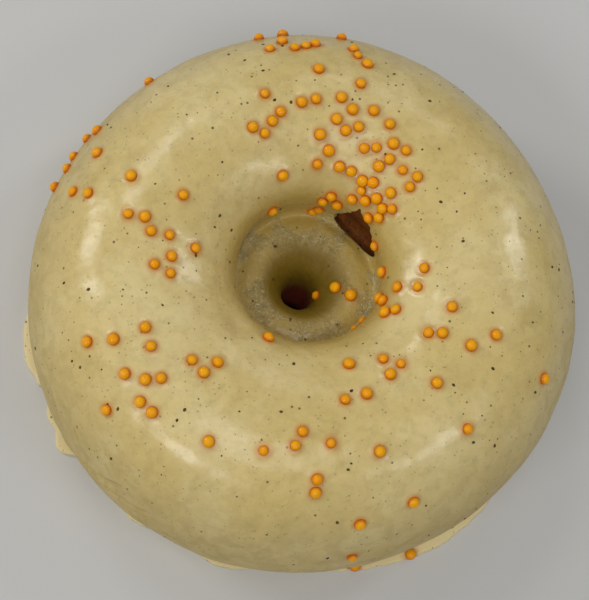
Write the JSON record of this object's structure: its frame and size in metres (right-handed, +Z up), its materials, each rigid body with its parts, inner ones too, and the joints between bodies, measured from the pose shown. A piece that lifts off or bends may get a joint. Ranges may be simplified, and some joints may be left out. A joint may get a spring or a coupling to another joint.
{
  "type": "ring doughnut",
  "caption": "Ring doughnut: a fried dough ring coated in vanilla glaze and sprinkled with orange sugar pearls.",
  "frame": {"origin": "on the surface the doughnut rests on, at the centre of its outline", "axes": "+Z up along the doughnut's axis, +X and +Y across it; the hole lies a little towards +Y"},
  "size_m": [0.0919, 0.0912, 0.0376],
  "materials": {
    "dough": "fried crust, matt and slightly pitted",
    "glaze": "set sugar glaze with vanilla specks, softly glossy",
    "sugar_pearls": "orange sugar, semi-gloss"
  },
  "bodies": {
    "root": {"dough_ring": "dough", "glaze_coat": "glaze", "sugar_pearl_01": "sugar_pearls", "sugar_pearl_02": "sugar_pearls", "sugar_pearl_03": "sugar_pearls", "sugar_pearl_04": "sugar_pearls", "sugar_pearl_05": "sugar_pearls", "sugar_pearl_06": "sugar_pearls", "sugar_pearl_07": "sugar_pearls", "sugar_pearl_08": "sugar_pearls", "sugar_pearl_09": "sugar_pearls", "sugar_pearl_10": "sugar_pearls", "sugar_pearl_11": "sugar_pearls", "sugar_pearl_12": "sugar_pearls", "sugar_pearl_13": "sugar_pearls", "sugar_pearl_14": "sugar_pearls", "sugar_pearl_15": "sugar_pearls", "sugar_pearl_16": "sugar_pearls", "sugar_pearl_17": "sugar_pearls", "sugar_pearl_18": "sugar_pearls", "sugar_pearl_19": "sugar_pearls", "sugar_pearl_20": "sugar_pearls", "sugar_pearl_21": "sugar_pearls", "sugar_pearl_22": "sugar_pearls", "sugar_pearl_23": "sugar_pearls", "sugar_pearl_24": "sugar_pearls", "sugar_pearl_25": "sugar_pearls", "sugar_pearl_26": "sugar_pearls", "sugar_pearl_27": "sugar_pearls", "sugar_pearl_28": "sugar_pearls", "sugar_pearl_29": "sugar_pearls", "sugar_pearl_30": "sugar_pearls", "sugar_pearl_31": "sugar_pearls", "sugar_pearl_32": "sugar_pearls", "sugar_pearl_33": "sugar_pearls", "sugar_pearl_34": "sugar_pearls", "sugar_pearl_35": "sugar_pearls", "sugar_pearl_36": "sugar_pearls", "sugar_pearl_37": "sugar_pearls", "sugar_pearl_38": "sugar_pearls", "sugar_pearl_39": "sugar_pearls", "sugar_pearl_40": "sugar_pearls", "sugar_pearl_41": "sugar_pearls", "sugar_pearl_42": "sugar_pearls", "sugar_pearl_43": "sugar_pearls", "sugar_pearl_44": "sugar_pearls", "sugar_pearl_45": "sugar_pearls", "sugar_pearl_46": "sugar_pearls", "sugar_pearl_47": "sugar_pearls", "sugar_pearl_48": "sugar_pearls", "sugar_pearl_49": "sugar_pearls", "sugar_pearl_50": "sugar_pearls", "sugar_pearl_51": "sugar_pearls", "sugar_pearl_52": "sugar_pearls", "sugar_pearl_53": "sugar_pearls", "sugar_pearl_54": "sugar_pearls", "sugar_pearl_55": "sugar_pearls", "sugar_pearl_56": "sugar_pearls", "sugar_pearl_57": "sugar_pearls", "sugar_pearl_58": "sugar_pearls"}
  },
  "joints": []
}
